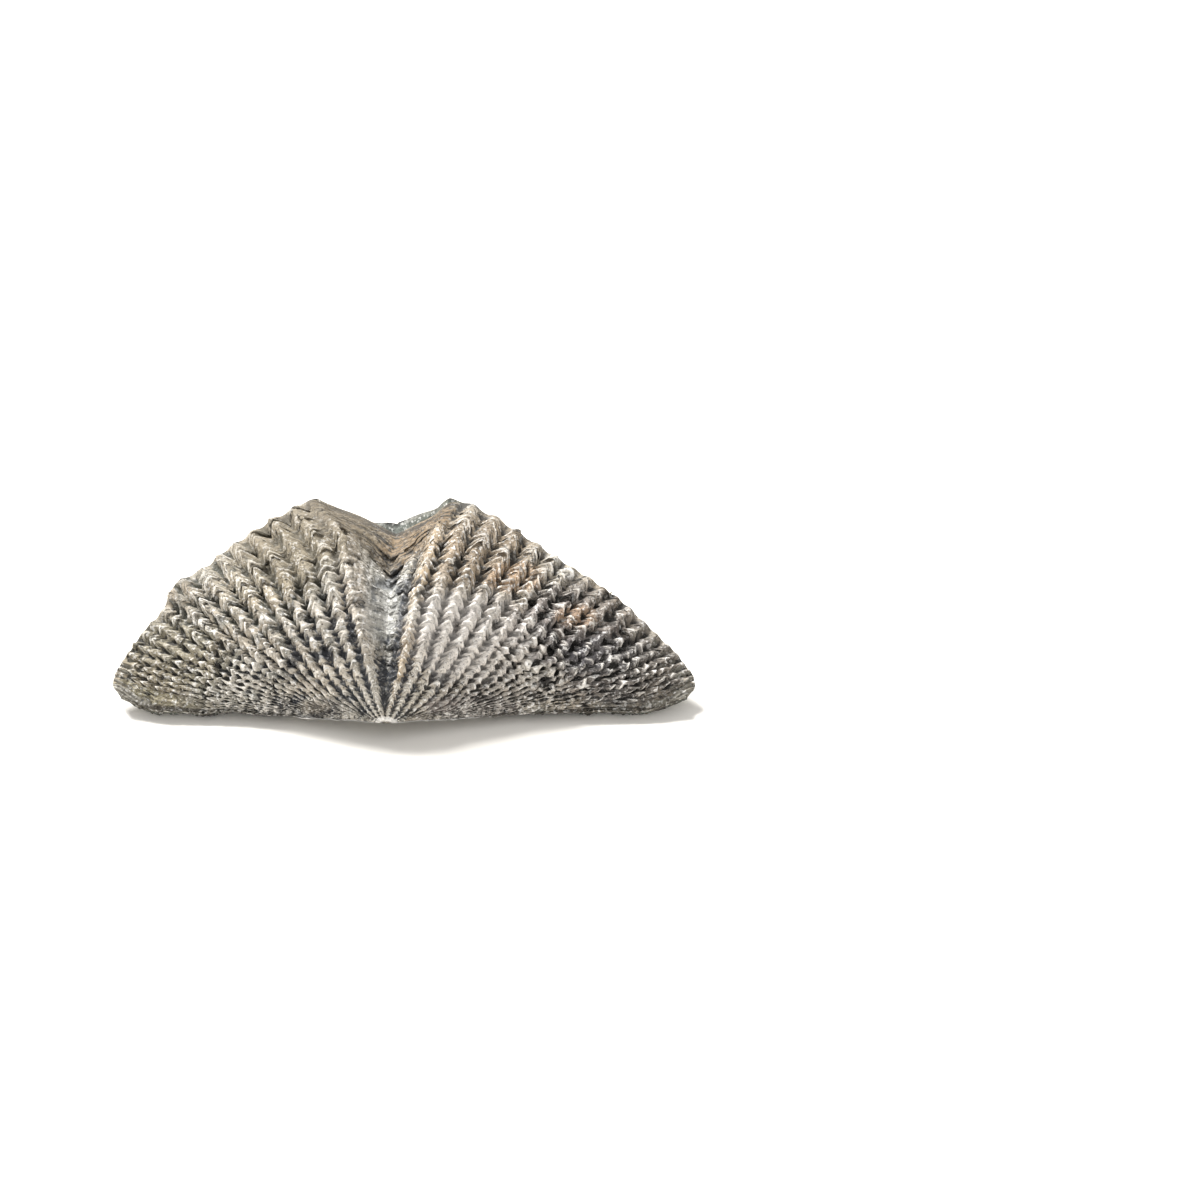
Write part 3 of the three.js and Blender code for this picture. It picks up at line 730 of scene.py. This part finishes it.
upperLook = {
    "mid": tone(172, 166, 153),
    "warm": tone(178, 165, 145),
    "grey": tone(146, 148, 143),
    "floorGrey": tone(160, 160, 154),
    # Pale crests, and painted highlights on the scale edges.
    "paleAndHighlight": tone(232, 226, 216),
    # White of the painted glints and highlights.
    "highlightWhite": tone(244, 241, 236),
    # Dark colour of the grime and painted shade in the hollows, also of the dark lines and specks.
    "grimeAndShade": tone(50, 48, 44),
    "coolGrimeAndShade": tone(42, 48, 58),
    "oliveGrimeAndShade": tone(54, 56, 44),
    # Brown of the groove's walls, its darkness partly painted shade.
    "wall": tone(98, 86, 67),
    "rust": tone(140, 116, 86),
    "wallLine": tone(44, 40, 34),
    # Painted shade towards the front.
    "front": tone(112, 102, 86),
    "ledge": tone(150, 142, 116),
    "strip": tone(62, 58, 52),
    "face": tone(120, 116, 106),
    # How strongly the painted highlights show on the scale edges.
    "edgeHighlightAmount": 0.8,
    # How strongly grime and painted shade darken the hollows.
    "grimeAndShadeAmount": 0.92,
    # Soft ovals: across, forward, half width, half depth in mm.
    "rustAt": (2.4, 10.4, 3.4, 3.0),
    "cleanAt": (5.0, 5.5, 5.0, 3.6),
    "coolAt": (-3.0, 4.5, 8.5, 6.0),
    "oliveAt": (-9.0, 8.0, 7.0, 5.0),
    # Each stain: across, forward, half width, half depth in mm, colour, amount.
    "patches": [
        (5.5, 9.8, 4.6, 3.2, tone(152, 130, 104), 0.7),
        (-4.2, 11.4, 4.6, 2.4, tone(124, 112, 90), 0.8),
        (14.5, 2.8, 5.5, 3.0, tone(106, 100, 99), 0.8),
        (11.5, 5.4, 5.0, 3.4, tone(112, 102, 102), 0.75),
        (13.4, 3.6, 3.6, 1.7, tone(84, 86, 92), 0.6),
        (8.0, 1.6, 5.0, 1.2, tone(116, 108, 104), 0.6),
        (-6.6, 9.8, 4.2, 2.8, tone(142, 131, 108), 0.6),
        (8.0, 8.4, 2.2, 1.2, tone(190, 154, 118), 0.6),
        (11.8, 6.0, 1.6, 0.9, tone(186, 150, 116), 0.6),
        (9.6, 5.0, 1.0, 0.7, tone(84, 84, 90), 0.6),
        (-13.5, 3.5, 4.5, 3.0, tone(146, 138, 112), 0.6),
        (-8.0, 8.2, 4.0, 2.2, tone(158, 146, 122), 0.5),
        (5.5, 4.6, 5.0, 3.4, tone(222, 214, 206), 0.7),
        (-5.0, 0.3, 4.0, 1.0, tone(92, 88, 84), 0.85),
        (5.2, 0.4, 4.0, 1.0, tone(102, 94, 92), 0.85),
    ],
    # Glazes lie over everything but the lip, in the same order as the stains.
    "glazes": [
        (-5.5, 10.6, 5.5, 3.4, tone(116, 106, 88), 0.38),
        (5.0, 5.0, 4.6, 3.4, tone(236, 230, 224), 0.26),
        (-4.4, 0.45, 1.2, 0.5, tone(190, 178, 160), 0.3),
        (3.5, 0.5, 1.4, 0.5, tone(178, 166, 158), 0.35),
        (-0.4, 6.5, 1.3, 2.4, tone(206, 206, 202), 0.3),
    ],
    # Each rib stain: rib number, half width in ribs, colour, amount.
    "ribStains": [
        (1.1, 0.7, tone(170, 150, 122), 0.75),
        (-1.0, 0.6, tone(190, 180, 166), 0.6),
        (0.4, 0.4, tone(120, 118, 116), 0.5),
    ],
}
lowerLook = dict(upperLook, mid=tone(150, 146, 132), warm=tone(158, 148, 130), edgeHighlightAmount=0.65,
                 coolGrimeAndShade=tone(44, 50, 46), face=tone(72, 80, 74),
                 patches=[(5.0, 12.5, 5.0, 2.0, tone(80, 88, 78), 0.7),
                          (0.0, 12.2, 1.6, 1.6, tone(178, 180, 178), 0.7)],
                 glazes=[], ribStains=[])

pedicleShell.data.materials.append(fossilStone("greyBrownStone", upperLook))
brachialShell.data.materials.append(fossilStone("darkStone", lowerLook))
for piece, node, slotName in ((pedicleShell, "pedicle_valve", "grey_brown_stone"),
                              (brachialShell, "brachial_valve", "dark_stone")):
    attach(piece, "root")
    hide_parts(node)
print("materials laid on")

# Floor, light and camera.
studio = {
    "elevation": 39.2,
    "distance": 0.26,
    "aim": (0.01317, 0.00758),    # right of and above the beak, as the camera sees it, in metres
    "lens": 127.0,
    "keyPlace": (-0.35, 0.5, 0.7),
    "keySize": 0.3,
    "keyPower": 19.0,
    "skyPower": 0.72,
}


def roomFloor():
    # A flat square under the object.
    size = 3.0
    mesh = bpy.data.meshes.new("floor")
    corners = [(-size, -size, 0), (size, -size, 0), (size, size, 0), (-size, size, 0)]
    mesh.from_pydata(corners, [], [(0, 1, 2, 3)])
    floor = bpy.data.objects.new("floor", mesh)
    bpy.context.scene.collection.objects.link(floor)
    paper = Shader("palePaper")
    paper.surface.inputs["Base Color"].default_value = (0.93, 0.898, 0.843, 1)
    paper.surface.inputs["Roughness"].default_value = 0.9
    mesh.materials.append(paper.material)
    return floor


def areaLight(name, place, target, size, power):
    data = bpy.data.lights.new(name, "AREA")
    data.size, data.energy = size, power
    lamp = bpy.data.objects.new(name, data)
    lamp.location = place
    lamp.rotation_mode = "QUATERNION"
    lamp.rotation_quaternion = (Vector(target) - Vector(place)).to_track_quat("-Z", "Y")
    bpy.context.scene.collection.objects.link(lamp)


def setCamera():
    tilt = math.radians(studio["elevation"])
    back = Vector((0, -math.cos(tilt), math.sin(tilt)))
    up = Vector((0, math.sin(tilt), math.cos(tilt)))
    beak = Vector(pedicleShell.data.vertices[0].co)
    aim = beak + Vector((1, 0, 0)) * studio["aim"][0] + up * studio["aim"][1]
    data = bpy.data.cameras.new("camera")
    data.lens, data.sensor_width = studio["lens"], 36.0
    data.clip_start, data.clip_end = 0.01, 10
    camera = bpy.data.objects.new("camera", data)
    camera.location = aim + back * studio["distance"]
    camera.rotation_mode = "QUATERNION"
    camera.rotation_quaternion = (-back).to_track_quat("-Z", "Y")
    bpy.context.scene.collection.objects.link(camera)
    bpy.context.scene.camera = camera


roomFloor()
areaLight("key", studio["keyPlace"], (0, 0, 0), studio["keySize"], studio["keyPower"])
world = bpy.data.worlds.new("studio")
bpy.context.scene.world = world
world.use_nodes = True
world.node_tree.nodes["Background"].inputs[0].default_value = (1, 1, 1, 1)
world.node_tree.nodes["Background"].inputs[1].default_value = studio["skyPower"]
bpy.context.scene.view_settings.view_transform = "Standard"
setCamera()
print("studio set")
